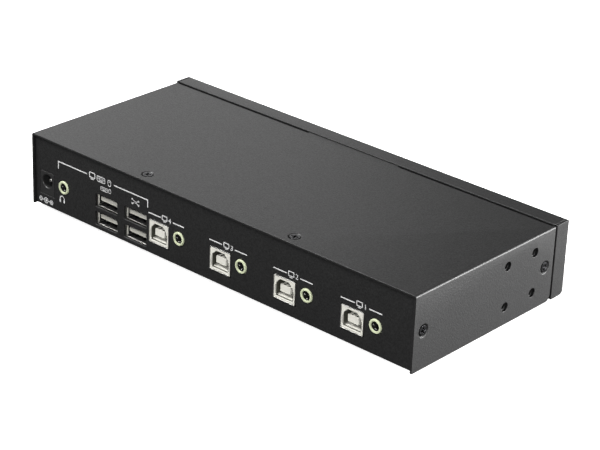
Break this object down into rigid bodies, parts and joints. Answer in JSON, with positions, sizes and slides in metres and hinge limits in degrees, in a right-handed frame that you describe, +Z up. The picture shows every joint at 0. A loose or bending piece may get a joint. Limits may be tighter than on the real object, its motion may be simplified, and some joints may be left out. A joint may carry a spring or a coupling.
{
  "type": "kvm switch",
  "caption": "Flat steel-cased KVM switch: a rear row of USB-B and audio sockets for the computers, console USB-A and audio sockets, a power inlet, and select buttons on the front.",
  "frame": {"origin": "centre of the whole object's box, on the surface that its feet stand on", "axes": "+X along the case towards the power inlet, +Y towards the rear sockets, +Z up; the front with the buttons faces -Y"},
  "size_m": [0.2222, 0.101, 0.0362],
  "materials": {
    "painted_steel": "fine-textured black powder coat, satin",
    "screw_steel": "blackened steel, worn bright in the recess",
    "socket_shell": "nickel-plated sheet",
    "ivory_plastic": "ivory moulded plastic",
    "lime_plastic": "pale lime moulded plastic",
    "black_plastic": "black moulded plastic",
    "circuit_board": "green solder mask over glass fibre",
    "rubber": "black rubber",
    "brass": "plain brass",
    "label_film": "satin polycarbonate film",
    "button_plastic": "dark grey moulded plastic",
    "led_lens": "clear epoxy lens",
    "capacitor_sleeve": "dark blue sleeve"
  },
  "bodies": {
    "case": {"chassis": "painted_steel", "top_cover": "painted_steel", "top_screw_left": "screw_steel", "side_screw_left_front": "screw_steel", "rubber_foot_left_front": "rubber", "board_standoff_left_front": "brass", "board_screw_left_front": "screw_steel", "side_screw_left_rear": "screw_steel", "rubber_foot_left_rear": "rubber", "board_standoff_left_rear": "brass", "board_screw_left_rear": "screw_steel", "top_screw_right": "screw_steel", "side_screw_right_front": "screw_steel", "rubber_foot_right_front": "rubber", "board_standoff_right_front": "brass", "board_screw_right_front": "screw_steel", "side_screw_right_rear": "screw_steel", "rubber_foot_right_rear": "rubber", "board_standoff_right_rear": "brass", "board_screw_right_rear": "screw_steel", "main_board": "circuit_board", "controller_chip": "black_plastic", "hub_chip": "black_plastic", "bulk_capacitor": "capacitor_sleeve", "usb_b_shell_1": "socket_shell", "usb_b_insert_1": "ivory_plastic", "button_switch_1": "black_plastic", "port_lamp_1": "led_lens", "usb_b_shell_2": "socket_shell", "usb_b_insert_2": "ivory_plastic", "button_switch_2": "black_plastic", "port_lamp_2": "led_lens", "usb_b_shell_3": "socket_shell", "usb_b_insert_3": "ivory_plastic", "button_switch_3": "black_plastic", "port_lamp_3": "led_lens", "usb_b_shell_4": "socket_shell", "usb_b_insert_4": "ivory_plastic", "button_switch_4": "black_plastic", "port_lamp_4": "led_lens", "audio_jack_console": "lime_plastic", "audio_jack_1": "lime_plastic", "audio_jack_2": "lime_plastic", "audio_jack_3": "lime_plastic", "audio_jack_4": "lime_plastic", "usb_a_shell_keyboard": "socket_shell", "usb_a_insert_keyboard": "ivory_plastic", "usb_a_shell_hub": "socket_shell", "usb_a_insert_hub": "ivory_plastic", "dc_jack_body": "black_plastic", "dc_jack_pin": "brass", "front_label": "label_film"},
    "select_button_1": {"select_button_1": "button_plastic", "switch_plunger_1": "black_plastic"},
    "select_button_2": {"select_button_2": "button_plastic", "switch_plunger_2": "black_plastic"},
    "select_button_3": {"select_button_3": "button_plastic", "switch_plunger_3": "black_plastic"},
    "select_button_4": {"select_button_4": "button_plastic", "switch_plunger_4": "black_plastic"}
  },
  "joints": [
    {"name": "select_button_1_press", "type": "slide", "parent": "case", "child": "select_button_1", "axis": [0, 1, 0], "range_m": [0, 0.001], "stiffness_N_per_m": 1000, "springref_m": -0.0005},
    {"name": "select_button_2_press", "type": "slide", "parent": "case", "child": "select_button_2", "axis": [0, 1, 0], "range_m": [0, 0.001], "stiffness_N_per_m": 1000, "springref_m": -0.0005},
    {"name": "select_button_3_press", "type": "slide", "parent": "case", "child": "select_button_3", "axis": [0, 1, 0], "range_m": [0, 0.001], "stiffness_N_per_m": 1000, "springref_m": -0.0005},
    {"name": "select_button_4_press", "type": "slide", "parent": "case", "child": "select_button_4", "axis": [0, 1, 0], "range_m": [0, 0.001], "stiffness_N_per_m": 1000, "springref_m": -0.0005}
  ]
}
